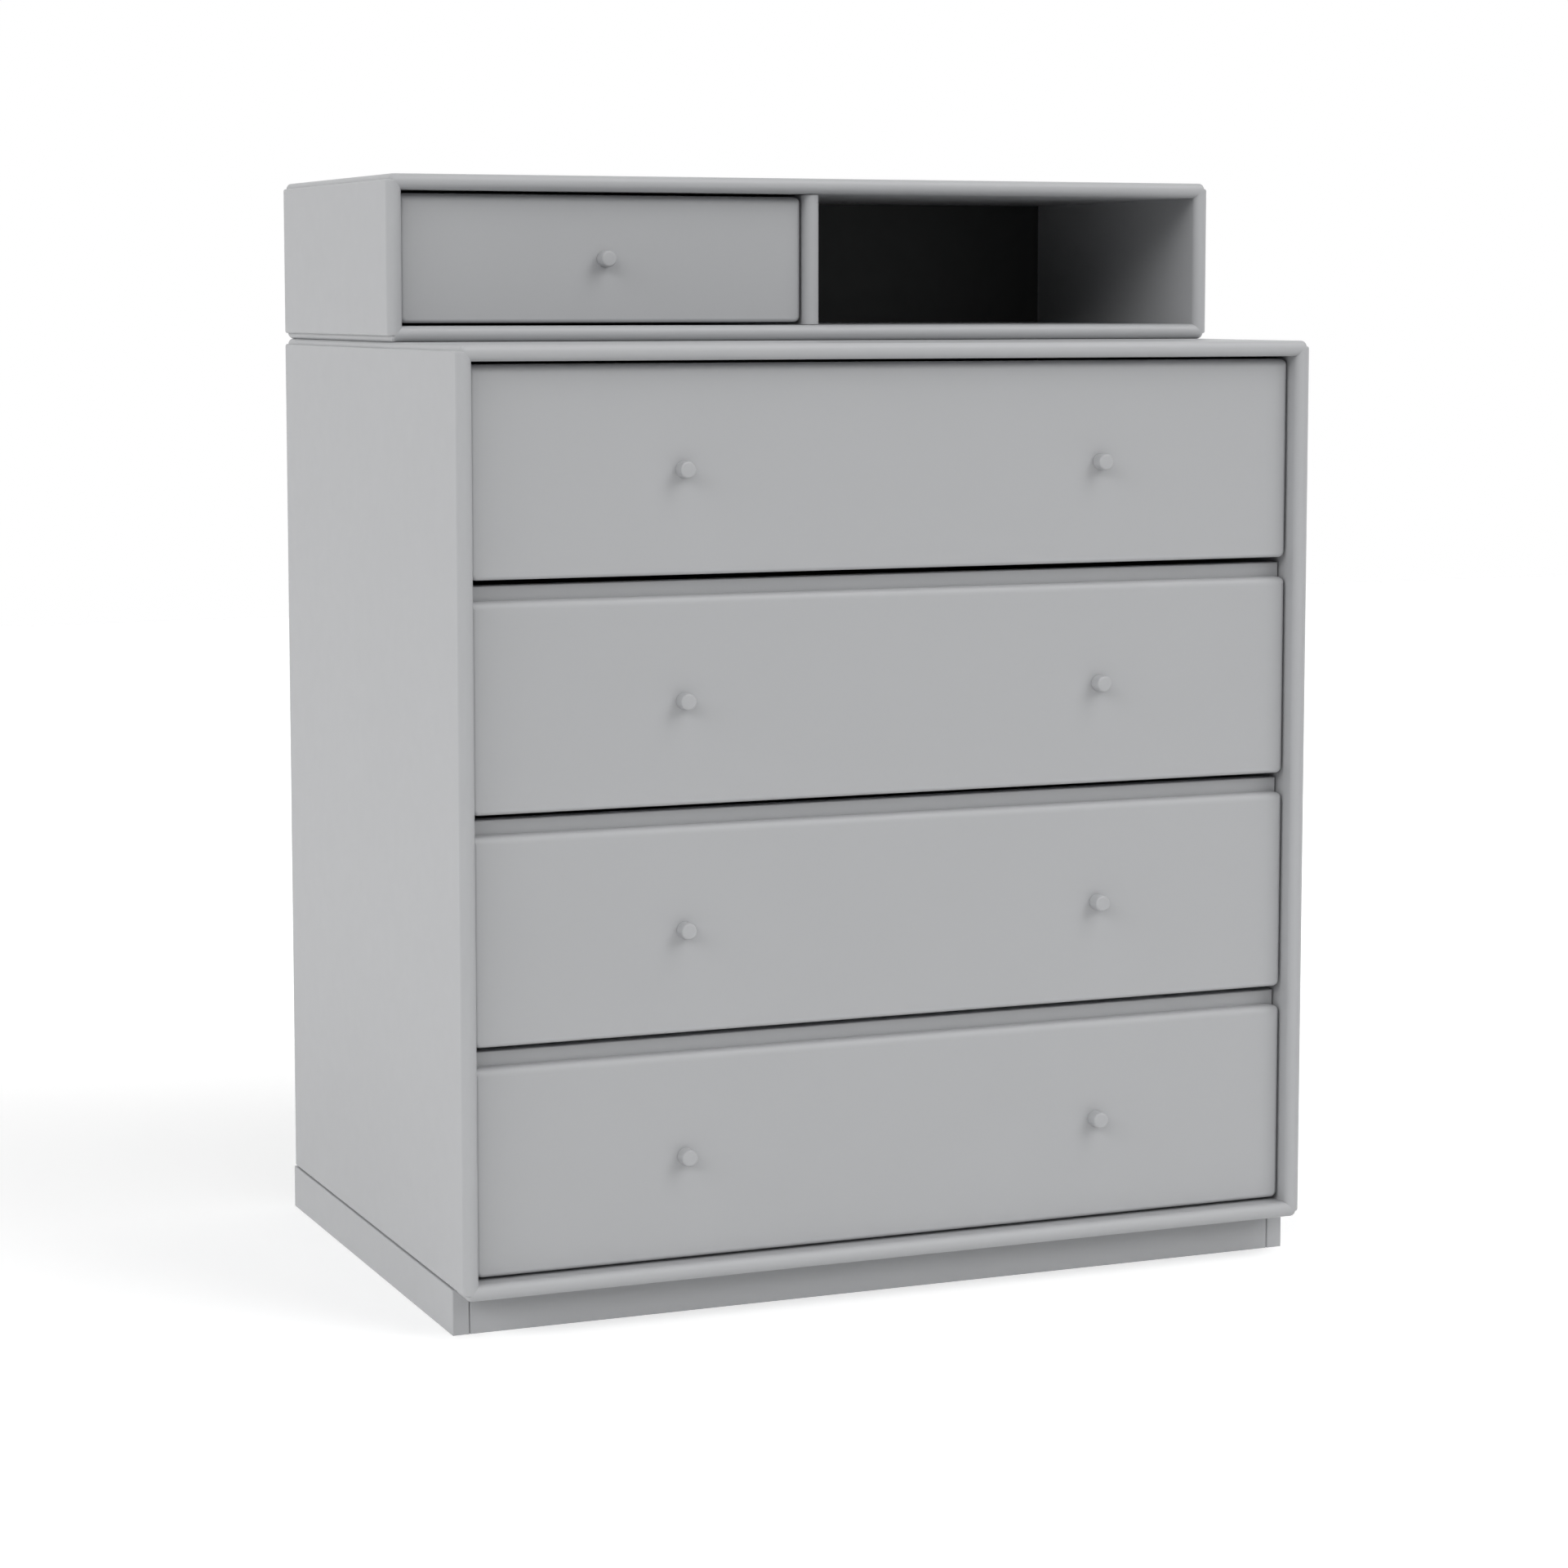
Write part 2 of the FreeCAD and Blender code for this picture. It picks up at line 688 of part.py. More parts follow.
def upper_drawer():
    """The single drawer of the upper module, in the bay left of the partition."""
    end_gap = size("front_end_gap")
    bay_half = size("drawer_bay_width") / 2
    centre_x = -inner_half + bay_half
    height = size("upper_height") - board * 2 - end_gap * 2
    face_y = upper_front + size("front_setback")
    foot_z = lower_top + board + end_gap
    box_height = size("upper_box_height")
    runner_length = size("upper_runner_length")
    drawer("upper_drawer", centre_x, face_y, foot_z, bay_half, height,
           height + end_gap - size("finger_gap"), box_height, runner_length, [0])
    start_y = face_y + size("front_thick") + size("box_board") + size("runner_start")
    level = size("box_foot_gap") + box_height / 2
    runner_node("upper_cabinet_runners", "cabinet", bay_half, (centre_x, start_y, foot_z),
                [level], runner_length)


def check_and_write():
    """Stop on any failed object or bad shape; otherwise write one STEP file for each sub-part."""
    doc.recompute()
    for item in doc.Objects:
        if "Invalid" in item.State or "Error" in item.State:
            raise RuntimeError(f"{item.Label} failed: {item.State}")
        if item.TypeId == "PartDesign::Pocket":
            if item.BaseFeature.Shape.Volume - item.Shape.Volume < 1:
                raise RuntimeError(f"{item.Label} cuts nothing")
    for item in PARTS:
        if item.Shape.isNull() or not item.Shape.isValid() or not item.Shape.Solids:
            raise RuntimeError(f"{item.Label} has no valid shape")
    os.makedirs("parts", exist_ok=True)
    for item in PARTS:
        item.Shape.exportStep(os.path.join("parts", f"{item.Label}.step"))


carcass("lower", lower_front, size("lower_depth"), lower_base, size("lower_height"))
carcass("upper", upper_front, size("upper_depth"), lower_top, size("upper_height"))
partition()
plinth()
lower_drawers()
upper_drawer()
check_and_write()
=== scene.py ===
import math

import bmesh
import bpy
from mathutils import Matrix, Vector


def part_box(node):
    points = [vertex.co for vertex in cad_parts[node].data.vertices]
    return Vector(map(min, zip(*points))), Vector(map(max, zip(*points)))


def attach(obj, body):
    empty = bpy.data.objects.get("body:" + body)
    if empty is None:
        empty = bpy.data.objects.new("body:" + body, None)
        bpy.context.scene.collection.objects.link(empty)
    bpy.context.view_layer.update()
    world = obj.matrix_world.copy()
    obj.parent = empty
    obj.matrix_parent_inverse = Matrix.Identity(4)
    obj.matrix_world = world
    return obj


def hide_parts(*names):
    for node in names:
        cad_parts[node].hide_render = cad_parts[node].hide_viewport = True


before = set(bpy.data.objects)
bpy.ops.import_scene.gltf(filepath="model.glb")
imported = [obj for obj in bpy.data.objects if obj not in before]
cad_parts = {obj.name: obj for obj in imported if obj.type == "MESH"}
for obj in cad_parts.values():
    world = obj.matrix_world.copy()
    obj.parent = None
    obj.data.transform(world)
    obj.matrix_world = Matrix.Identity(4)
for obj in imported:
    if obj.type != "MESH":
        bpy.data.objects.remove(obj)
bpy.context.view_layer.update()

# ---------------------------------------------------------------- colours

# sRGB bytes
GREY = (173, 174, 176)
# near black for the back boards: painted shade, standing in for the deep shade at the back of the
# open compartment
PAINTED_SHADE_BLACK = (24, 26, 27)
# near black for the screws' cross recesses: painted shade, in place of the shade inside a recess
RECESS_SHADE_BLACK = (30, 30, 31)
PLASTIC_BLACK = (32, 32, 34)

# scene-linear
ZINC_DARK = (0.40, 0.415, 0.435, 1.0)
ZINC_LIGHT = (0.475, 0.49, 0.51, 1.0)
FLOOR_DARK = (0.88, 0.88, 0.88, 1.0)
FLOOR_LIGHT = (0.90, 0.90, 0.90, 1.0)
WHITE = (1.0, 1.0, 1.0, 1.0)


def linear(*srgb_bytes):
    """Scene-linear colour of an sRGB colour given in bytes."""
    out = []
    for value in srgb_bytes:
        c = value / 255.0
        out.append(c / 12.92 if c <= 0.04045 else ((c + 0.055) / 1.055) ** 2.4)
    return (*out, 1.0)


def shade(colour, factor):
    return (colour[0] * factor, colour[1] * factor, colour[2] * factor, 1.0)


# ---------------------------------------------------------------- material helpers


def new_material(name):
    material = bpy.data.materials.new(name)
    material.use_nodes = True
    tree = material.node_tree
    tree.nodes.clear()
    output = tree.nodes.new("ShaderNodeOutputMaterial")
    return material, tree, output


def add(tree, kind, values=None, **settings):
    """A new node, with values set on its inputs and settings on the node itself."""
    node = tree.nodes.new(kind)
    for key, value in settings.items():
        setattr(node, key, value)
    for key, value in (values or {}).items():
        node.inputs[key].default_value = value
    return node


def noise(tree, coords, scale, detail=2.0, roughness=0.5, stretch=None):
    """Noise with so many features to the metre, where stretch thins them out along an axis."""
    if stretch:
        mapping = add(tree, "ShaderNodeMapping", {"Scale": stretch})
        tree.links.new(coords, mapping.inputs["Vector"])
        coords = mapping.outputs["Vector"]
    node = add(tree, "ShaderNodeTexNoise",
               {"Scale": scale, "Detail": detail, "Roughness": roughness})
    tree.links.new(coords, node.inputs["Vector"])
    return node.outputs["Fac"]


RAMP_START, RAMP_END = 0.3, 0.7          # the range that noise mostly stays in


def ramp(tree, value, low, high):
    """A colour between low and high."""
    node = add(tree, "ShaderNodeValToRGB")
    node.color_ramp.elements[0].position = RAMP_START
    node.color_ramp.elements[0].color = low
    node.color_ramp.elements[1].position = RAMP_END
    node.color_ramp.elements[1].color = high
    tree.links.new(value, node.inputs["Fac"])
    return node.outputs["Color"]


def spread(tree, value, low, high):
    """A value between low and high."""
    node = add(tree, "ShaderNodeMapRange", {"To Min": low, "To Max": high})
    tree.links.new(value, node.inputs["Value"])
    return node.outputs["Result"]


def surface(tree, output, colour, rough, relief, strength, distance, values):
    """A shader with the given colour and roughness, and a bump from the relief."""
    shader = add(tree, "ShaderNodeBsdfPrincipled", values)
    bump = add(tree, "ShaderNodeBump", {"Strength": strength, "Distance": distance})
    tree.links.new(colour, shader.inputs["Base Color"])
    tree.links.new(rough, shader.inputs["Roughness"])
    tree.links.new(relief, bump.inputs["Height"])
    tree.links.new(bump.outputs["Normal"], shader.inputs["Normal"])
    tree.links.new(shader.outputs["BSDF"], output.inputs["Surface"])


# Noise scales, in features to the metre
CLOUDS = 9.0             # lacquer: shifts of tone
SHEEN = 60.0             # lacquer: shifts of gloss
ORANGE_PEEL = 700.0
SPANGLE = 160.0          # zinc: crystals
DRAWN_LINES = 1400.0     # zinc: lines that run along the runner

SHEEN_SPREAD = 0.05      # of the roughness, to either side
PEEL_DISTANCE = 0.0003
LACQUER_IOR = 1.5
ZINC_ROUGH = (0.22, 0.44)
SPANGLE_STRETCH = (1.0, 0.35, 1.0)
LINE_STRETCH = (1.0, 0.015, 1.0)
LINE_STRENGTH = 0.1
LINE_DISTANCE = 0.0001


def lacquer(name, colour, rough=0.42, peel=0.03, clouding=0.006):
    """Sprayed satin lacquer on fibreboard: faint clouding, fine orange peel."""
    material, tree, output = new_material(name)
    coords = add(tree, "ShaderNodeTexCoord").outputs["Object"]
    base = linear(*colour)
    clouds = noise(tree, coords, CLOUDS, detail=3.0, roughness=0.55)
    sheen = noise(tree, coords, SHEEN, detail=3.0, roughness=0.6)
    surface(tree, output,
            ramp(tree, clouds, shade(base, 1 - clouding), shade(base, 1 + clouding)),
            spread(tree, sheen, rough - SHEEN_SPREAD, rough + SHEEN_SPREAD),
            noise(tree, coords, ORANGE_PEEL), peel, PEEL_DISTANCE, {"IOR": LACQUER_IOR})
    return material


def zinc(name):
    """Zinc-plated pressed steel: faint spangle and fine drawing lines along the runner."""
    material, tree, output = new_material(name)
    coords = add(tree, "ShaderNodeTexCoord").outputs["Object"]
    spangle = noise(tree, coords, SPANGLE, detail=5.0, roughness=0.6, stretch=SPANGLE_STRETCH)
    lines = noise(tree, coords, DRAWN_LINES, detail=3.0, roughness=0.55, stretch=LINE_STRETCH)
    surface(tree, output, ramp(tree, spangle, ZINC_DARK, ZINC_LIGHT),
            spread(tree, lines, *ZINC_ROUGH), lines, LINE_STRENGTH, LINE_DISTANCE,
            {"Metallic": 1.0})
    return material


finishes = {
    "carcass_lacquer": lacquer("carcass_grey", GREY),
    "plinth_lacquer": lacquer("plinth_grey", GREY),
    "knob_lacquer": lacquer("knob_grey", GREY, rough=0.34),
    "drawer_box": lacquer("drawer_box_grey", GREY, rough=0.5, peel=0.08, clouding=0.012),
    # painted shade: the back boards are near black in place of the shade inside the compartment
    "back_board": lacquer("back_board_painted_shade", PAINTED_SHADE_BLACK, rough=0.6, peel=0.1, clouding=0.08),
    "runner_steel": zinc("runner_zinc"),
}
# painted shade: the screws' cross recesses are flat near-black crosses
recess_shade_finish = lacquer("screw_recess_painted_shade", RECESS_SHADE_BLACK, rough=0.6, peel=0.1)
lever_finish = lacquer("lever_black_plastic", PLASTIC_BLACK, rough=0.38, peel=0.12)

for cad_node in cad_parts.values():
    for slot in cad_node.material_slots:
        slot.material = finishes[slot.material.name.split(".")[0]]

# ---------------------------------------------------------------- mesh helpers

SHARP_ANGLE = math.radians(38.0)         # faces that meet at more than this stay sharp


def closed_mesh(name, points, faces):
    """A mesh whose faces all point out."""
    mesh = bpy.data.meshes.new(name)
    mesh.from_pydata([tuple(point) for point in points], [], faces)
    mesh.validate()
    shell = bmesh.new()
    shell.from_mesh(mesh)
    bmesh.ops.recalc_face_normals(shell, faces=shell.faces)
    shell.to_mesh(mesh)
    shell.free()
    return mesh


def smooth(mesh):
    mesh.shade_smooth()
    mesh.set_sharp_from_angle(angle=SHARP_ANGLE)


def make_piece(name, points, faces, finish, body):
    """A smooth-shaded piece that rides on a body."""
    mesh = closed_mesh(name, points, faces)
    smooth(mesh)
    mesh.materials.append(finish)
    piece = bpy.data.objects.new(name, mesh)
    bpy.context.collection.objects.link(piece)
    weighted = piece.modifiers.new("even_normals", "WEIGHTED_NORMAL")
    weighted.keep_sharp = True
    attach(piece, body)
    return piece


def band(ring, count):
    """Faces between a ring of so many points and the next ring."""
    near, far = ring * count, (ring + 1) * count
    return [(near + index, near + (index + 1) % count, far + (index + 1) % count, far + index)
            for index in range(count)]


def loft(rings):
    """Points and faces of rings of as many points each, closed at both ends."""
    count = len(rings[0])
    faces = []
    for ring in range(len(rings) - 1):
        faces += band(ring, count)
    last = (len(rings) - 1) * count
    faces += [tuple(range(count)), tuple(range(last, last + count))]
    return [point for ring in rings for point in ring], faces


def turned(profile, place, sides):
    """Points and faces of a piece turned about Y.

    The profile gives (radius, forward) pairs, and its two ends are on the axis.
    """
    points, faces = [], []
    off_axis = [pair for pair in profile if pair[0] > 0.0]
    for radius, forward in off_axis:
        for index in range(sides):
            angle = 2 * math.pi * index / sides
            points.append(place + Vector((radius * math.cos(angle), -forward,
                                          radius * math.sin(angle))))
    for ring in range(len(off_axis) - 1):
        faces += band(ring, sides)
    for end, ring in ((profile[0], 0), (profile[-1], len(off_axis) - 1)):
        points.append(place + Vector((0.0, -end[1], 0.0)))
        faces += [(ring * sides + index, ring * sides + (index + 1) % sides, len(points) - 1)
                  for index in range(sides)]
    return points, faces


def joined(shapes):
    """One list of points and one of faces from several pairs of them."""
    points, faces = [], []
    for some_points, some_faces in shapes:
        start = len(points)
        points += some_points
        faces += [tuple(index + start for index in face) for face in some_faces]
    return points, faces


def moved(shape, place, way=1):
    """The shape mirrored in X where way is -1, and moved."""
    points, faces = shape
    at = Vector(place)
    return [Vector((point[0] * way, point[1], point[2])) + at for point in points], faces


def sideways(shape, place, way):
    """A shape that faces +Y, turned to face along X, and moved."""
    points, faces = shape
    return [Vector((point.y * way, point.x, point.z)) + place for point in points], faces


# ---------------------------------------------------------------- carcass boards

LIP_ROUND = 0.0038       # on the ends of the top and bottom boards
LEDGE_ROUND = 0.0018     # on the ends of the sides
ARC_STEPS = 12           # round a quarter of a long edge
END_STEPS = 8            # round an end
MITRE_STEPS = 14         # along a mitre
SAME_PLACE_DIGITS = 7    # places along a board that agree this far are one place


def board_rings(end, stop, radius, depth, thick, lip_start):
    """Rings (along, depth, outward) of a board with mitred ends and full-round edges.

    The outer part of each end is rounded by radius, and the rounding follows the round edges.
    """
    core = thick / 2
    reach = math.acos((core - lip_start) / core)
    alongs = [end - thick + core * (1 - math.cos(reach * step / MITRE_STEPS))
              for step in range(MITRE_STEPS + 1)]
    alongs += [stop - radius * (1 - math.sin(math.pi / 2 * step / END_STEPS))
               for step in range(END_STEPS + 1)]
    stations = []
    for along in sorted({round(value, SAME_PLACE_DIGITS) for value in alongs}):
        into = max(0.0, min(radius, along - stop + radius))
        stations.append((along, radius - math.sqrt(radius ** 2 - into ** 2)))
    rings = []
    for along, inset in stations:
        floor_level = min(max(along - end + thick, 0.0), lip_start)
        bow = core - inset
        low = math.asin(max(-1.0, min(1.0, (floor_level - core) / bow)))
        front = []
        for step in range(ARC_STEPS + 1):
            turn = low + (math.pi / 2 - low) * step / ARC_STEPS
            front.append((core - bow * math.cos(turn), core + bow * math.sin(turn)))
        back = [(depth - y, z) for y, z in reversed(front)]
        rings.append([(along, y, z) for y, z in front + back])
    mirrored = [[(-x, y, z) for x, y, z in ring] for ring in reversed(rings)]
    return mirrored + rings


def dress_boards(module):
    """The four outer boards of a module, with their corners rounded all round."""
    left_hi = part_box(f"{module}_left_side")[1]
    right_lo, right_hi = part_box(f"{module}_right_side")
    top_lo, top_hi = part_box(f"{module}_top_board")
    bottom_lo, bottom_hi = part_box(f"{module}_bottom_board")
    thick = top_hi[2] - top_lo[2]
    depth = top_hi[1] - top_lo[1]
    front = top_lo[1]
    ledge = top_hi[2] - right_hi[2]
    lip_start = thick - ledge
    half_high = (top_hi[2] - bottom_lo[2]) / 2
    middle = (top_hi[2] + bottom_lo[2]) / 2
    lying = board_rings(right_hi[0], top_hi[0], LIP_ROUND, depth, thick, lip_start)
    standing = board_rings(half_high, half_high - ledge, LEDGE_ROUND, depth, thick, lip_start)
    ways = {
        "top_board": (lying, lambda x, y, z: (x, front + y, top_lo[2] + z)),
        "bottom_board": (lying, lambda x, y, z: (x, front + y, bottom_hi[2] - z)),
        "left_side": (standing, lambda x, y, z: (left_hi[0] - z, front + y, middle + x)),
        "right_side": (standing, lambda x, y, z: (right_lo[0] + z, front + y, middle + x)),
    }
    for board, (rings, at) in ways.items():
        node = f"{module}_{board}"
        points, faces = loft([[at(*point) for point in ring] for ring in rings])
        piece = make_piece(f"{node}_dressed", points, faces, finishes["carcass_lacquer"], "root")
        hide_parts(node)


dress_boards("lower")
dress_boards("upper")

# ---------------------------------------------------------------- knobs and their screws

DRAWERS = ("drawer_1", "drawer_2", "drawer_3", "drawer_4", "upper_drawer")

KNOB_FOOT = (            # broken edge: (in from the radius, forward)
    (0.0005, 0.0), (0.00015, 0.00025), (0.0, 0.0006), (0.0, 0.0025))
KNOB_MIDDLE = 0.55       # of the length
KNOB_TIP_ROUND = 0.0018
KNOB_TIP_STEPS = 10
KNOB_CROWN = 0.00018
KNOB_CROWN_RINGS = (0.8, 0.55, 0.3)      # of the radius of the tip's face
KNOB_SIDES = 48

PAN_HEAD = (             # (share of the radius, share of the height)
    (0.0, 0.0), (0.96, 0.0), (1.0, 0.12), (1.0, 0.4), (0.93, 0.66),
    (0.78, 0.86), (0.55, 0.96), (0.3, 1.0), (0.0, 1.0))
SCREW_SIDES = 24
CROSS_PROUD = 0.00004    # of a recess over its screw's head

FRONT_HEAD = (0.0042, 0.0021)            # radius and height, for the screws of a front
FRONT_CROSS = (0.0019, 0.0008)           # reach and width
FRONT_SCREW_IN = 0.04    # from the ends of the drawer box's back board
FRONT_SCREW_UP = 0.03    # from its lower edge
FRONT_SCREW_DOWN = 0.015                 # from its upper edge


def knob_profile(radius, length):
    """A turned knob: a broken edge at the foot, a soft tip and a faint crown."""
    profile = [(0.0, 0.0)]
    profile += [(radius - into, forward) for into, forward in KNOB_FOOT]
    profile.append((radius, length * KNOB_MIDDLE))
    shoulder = length - KNOB_CROWN - KNOB_TIP_ROUND
    for step in range(KNOB_TIP_STEPS + 1):
        turn = math.pi / 2 * step / KNOB_TIP_STEPS
        profile.append((radius - KNOB_TIP_ROUND * (1 - math.cos(turn)),
                        shoulder + KNOB_TIP_ROUND * math.sin(turn)))
    face = radius - KNOB_TIP_ROUND
    profile += [(face * share, length - KNOB_CROWN * share ** 2) for share in KNOB_CROWN_RINGS]
    profile.append((0.0, length))
    return profile


def screw_profile(radius, height):
    """A pan head that faces +Y, its rim rounded into the crown."""
    return [(radius * wide, -height * high) for wide, high in PAN_HEAD]


def cross_recess(place, reach, width):
    """A flat near-black cross of painted shade, set just proud of a head that faces +Y, where the
    shaded cross recess would be.
    """
    bars = []
    for half, thin in ((reach, width / 2), (width / 2, reach)):
        corners = [(-half, -thin), (half, -thin), (half, thin), (-half, thin)]
        bars.append(([place + Vector((x, CROSS_PROUD, z)) for x, z in corners], [(0, 1, 2, 3)]))
    return joined(bars)


for drawer in DRAWERS:
    node = f"{drawer}_knobs"
    low, high = (Vector(corner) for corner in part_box(node))
    radius = (high.z - low.z) / 2
    level = (high.z + low.z) / 2
    across = [low.x + radius, high.x - radius]
    if across[1] - across[0] < radius:
        across = across[:1]
    profile = knob_profile(radius, high.y - low.y)
    points, faces = joined([turned(profile, Vector((x, high.y, level)), KNOB_SIDES)
                            for x in across])
    knobs = make_piece(f"{node}_turned", points, faces, finishes["knob_lacquer"], drawer)
    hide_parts(node)

    # The screws of the knobs and of the front, inside the drawer box
    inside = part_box(f"{drawer}_box_front")[1][1]
    back_low, back_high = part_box(f"{drawer}_box_back")
    places = [Vector((x, inside, level)) for x in across]
    for x in (back_low[0] + FRONT_SCREW_IN, back_high[0] - FRONT_SCREW_IN):
        for z in (back_low[2] + FRONT_SCREW_UP, back_high[2] - FRONT_SCREW_DOWN):
            places.append(Vector((x, inside, z)))
    profile = screw_profile(*FRONT_HEAD)
    points, faces = joined([turned(profile, place, SCREW_SIDES) for place in places])
    piece = make_piece(f"{drawer}_screw_heads", points, faces, finishes["runner_steel"], drawer)
    tip = Vector((0.0, FRONT_HEAD[1], 0.0))
    points, faces = joined([cross_recess(place + tip, *FRONT_CROSS) for place in places])
    make_piece(f"{drawer}_screw_recess_shade", points, faces, recess_shade_finish, drawer)

# ---------------------------------------------------------------- telescopic runners

SHEET = 0.0012           # thickness of the steel
MEMBER_DEEP = 0.0075     # of the drawer's member and of the middle one
FLANGE_STEPS = 18
BEND = 0.0018            # radius of a bend, at the middle of the sheet
BEND_STEPS = 6
GROOVE_DEEP = 0.0015     # ball race rolled into the flanges of the drawer's member
GROOVE_WIDE = 0.0042
GROOVE_AT = 0.0047       # from the web's back

# Places along a member, from its front
FIRST_SCREWS = (0.032, 0.05)
LONG_LAST_SCREW, SHORT_LAST_SCREW = 0.205, 0.125
LONG_LEVER, SHORT_LEVER = 0.165, 0.088
INNER_SLOT = 0.5         # of the way to the last screw, for a slot of the drawer's member
MIDDLE_SLOT = 0.62       # and for one of the middle member
LAST_HOLE = 0.02         # from the last screw to the hole behind it

# Slots of the members: (from the member's front, length, width, whether it stands)
MM = 0.001
HOLE = 4.4 * MM
SLOT_STEPS = 8           # round each end of a slot
FRONT_SLOTS = [(0.014, 9 * MM, HOLE, False), (FIRST_SCREWS[0], HOLE, HOLE, False),
               (FIRST_SCREWS[1], 11 * MM, HOLE, True)]
LONG_HOLE = (0.128, HOLE, HOLE, False)
MIDDLE_SLOTS = [(0.022, 16 * MM, 5 * MM, False), (0.05, 6 * MM, 6 * MM, False)]

SIDE_HEAD = (0.0036, 0.0018)             # radius and height, for the screws of a runner
SIDE_CROSS = (0.0016, 0.0007)            # reach and width

# The release lever: along the runner, and (height, shrink) of the levels it is stacked from
LEVER_HUB = 0.0062       # radius of the end with the boss
LEVER_TIP = 0.0046       # radius of the end with the ribs
LEVER_LENGTH = 0.044     # between the centres of the two
LEVER_WAIST = 0.0016     # how far the sides are drawn in
LEVER_STEPS = 10
LEVER_LEVELS = ((0.0, 0.0), (0.0022, 0.0), (0.0029, 0.0003), (0.0032, 0.0009))
BOSS_WIDE = 0.0064
BOSS_STEPS = 12
BOSS_LEVELS = ((0.0030, 0.0), (0.0039, 0.0), (0.0042, 0.0004))
RIB_LONG, RIB_WIDE = 0.0062, 0.0011
RIB_STEPS = 5
RIB_LEVELS = ((0.0030, 0.0), (0.0038, 0.0), (0.0041, 0.0002))
RIBS_AT = (-0.0235, -0.0208, -0.0181)


def channel_path(half_high, groove):
    """Middle line of a rolled channel: (out from the web's back, up), from tip to tip."""
    level = half_high - SHEET / 2
    upper = []
    for step in range(FLANGE_STEPS + 1):
        out = MEMBER_DEEP - (MEMBER_DEEP - BEND - SHEET / 2) * step / FLANGE_STEPS
        dip = 0.0
        if groove and abs(out - GROOVE_AT) < GROOVE_WIDE / 2:
            dip = GROOVE_DEEP * math.cos(math.pi * (out - GROOVE_AT) / GROOVE_WIDE) ** 2
        upper.append((out, level - dip))
    for step in range(1, BEND_STEPS + 1):
        turn = math.pi / 2 * step / BEND_STEPS
        upper.append((SHEET / 2 + BEND - BEND * math.sin(turn),
                      level - BEND * (1 - math.cos(turn))))
    return upper + [(out, -up) for out, up in reversed(upper)]


def sheet_ring(path):
    """Closed outline of a sheet that follows the path."""
    sides = [[], []]
    for index, (out, up) in enumerate(path):
        before = path[max(index - 1, 0)]
        after = path[min(index + 1, len(path) - 1)]
        along = Vector((after[0] - before[0], after[1] - before[1])).normalized()
        for side, way in zip(sides, (1, -1)):
            side.append((out - along.y * SHEET / 2 * way, up + along.x * SHEET / 2 * way))
    return sides[0] + sides[1][::-1]


def half_circle(centre, radius, start, steps):
    """Half a circle about a point on the line: (along, up) pairs."""
    turns = [start + math.pi * step / steps for step in range(steps + 1)]
    return [(centre + radius * math.cos(turn), radius * math.sin(turn)) for turn in turns]


def capsule(length, high, steps):
    """Outline of a slot with round ends: (along, up) pairs."""
    half, radius = max(length - high, 0.0) / 2, high / 2
    return (half_circle(half, radius, -math.pi / 2, steps)
            + half_circle(-half, radius, math.pi / 2, steps))


def stacked(outline, levels):
    """A piece lofted along X: levels are (x, shrink) pairs of the same outline."""
    rings = []
    for x, shrink in levels:
        ring = []
        for along, up in outline:
            size = math.hypot(along, up)
            keep = (size - shrink) / size if size > 0.0 else 0.0
            ring.append((x, along * keep, up * keep))
        rings.append(ring)
    return loft(rings)


def slot_cutter(out, along, length, high, standing):
    """What a slot cuts away at a place of the sheet."""
    outline = capsule(length, high, SLOT_STEPS)
    if standing:
        outline = [(b, a) for a, b in outline]
    return moved(stacked(outline, ((out - SHEET, 0.0), (out + SHEET, 0.0))), (0.0, along, 0.0))


def cut_slots(piece, cutters):
    """Slots cut through the sheet of a piece."""
    cutter = bpy.data.objects.new("slot_cutters", closed_mesh("slot_cutters", *joined(cutters)))
    bpy.context.collection.objects.link(cutter)
    cut = piece.modifiers.new("slots", "BOOLEAN")
    cut.operation = "DIFFERENCE"
    cut.solver = "EXACT"
    cut.object = cutter
    piece.modifiers.move(len(piece.modifiers) - 1, 0)
    bpy.context.view_layer.update()
    whole = piece.evaluated_get(bpy.context.evaluated_depsgraph_get())
    result = bpy.data.meshes.new_from_object(whole)
    piece.modifiers.clear()
    smooth(result)
    piece.data = result
    bpy.data.objects.remove(cutter)


def runner_member(node, body, groove, slots):
    """A member of a telescopic runner, left and right, rolled from sheet and slotted."""
    low, high = (Vector(corner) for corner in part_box(node))
    middle = (low + high) / 2
    centre = (middle.x, 0.0, middle.z)
    half_wide = (high.x - low.x) / 2
    ring = sheet_ring(channel_path((high.z - low.z) / 2, groove))
    # The drawer's member opens outwards, and the middle one inwards.
    out = 1 if groove else -1
    web = half_wide - MEMBER_DEEP if groove else half_wide
    rings = [[(web + a * out, y, b) for a, b in ring] for y in (low.y, high.y)]
    channels, cutters = [], []
    for way in (1, -1):
        channels.append(moved(loft(rings), centre, way))
        for along, length, wide, standing in slots:
            cutter = slot_cutter(web + SHEET / 2 * out, low.y + along, length, wide, standing)
            cutters.append(moved(cutter, centre, way))
    points, faces = joined(channels)
    piece = make_piece(f"{node}_rolled", points, faces, finishes["runner_steel"], body)
    cut_slots(piece, cutters)
    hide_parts(node)
    return low, middle, half_wide


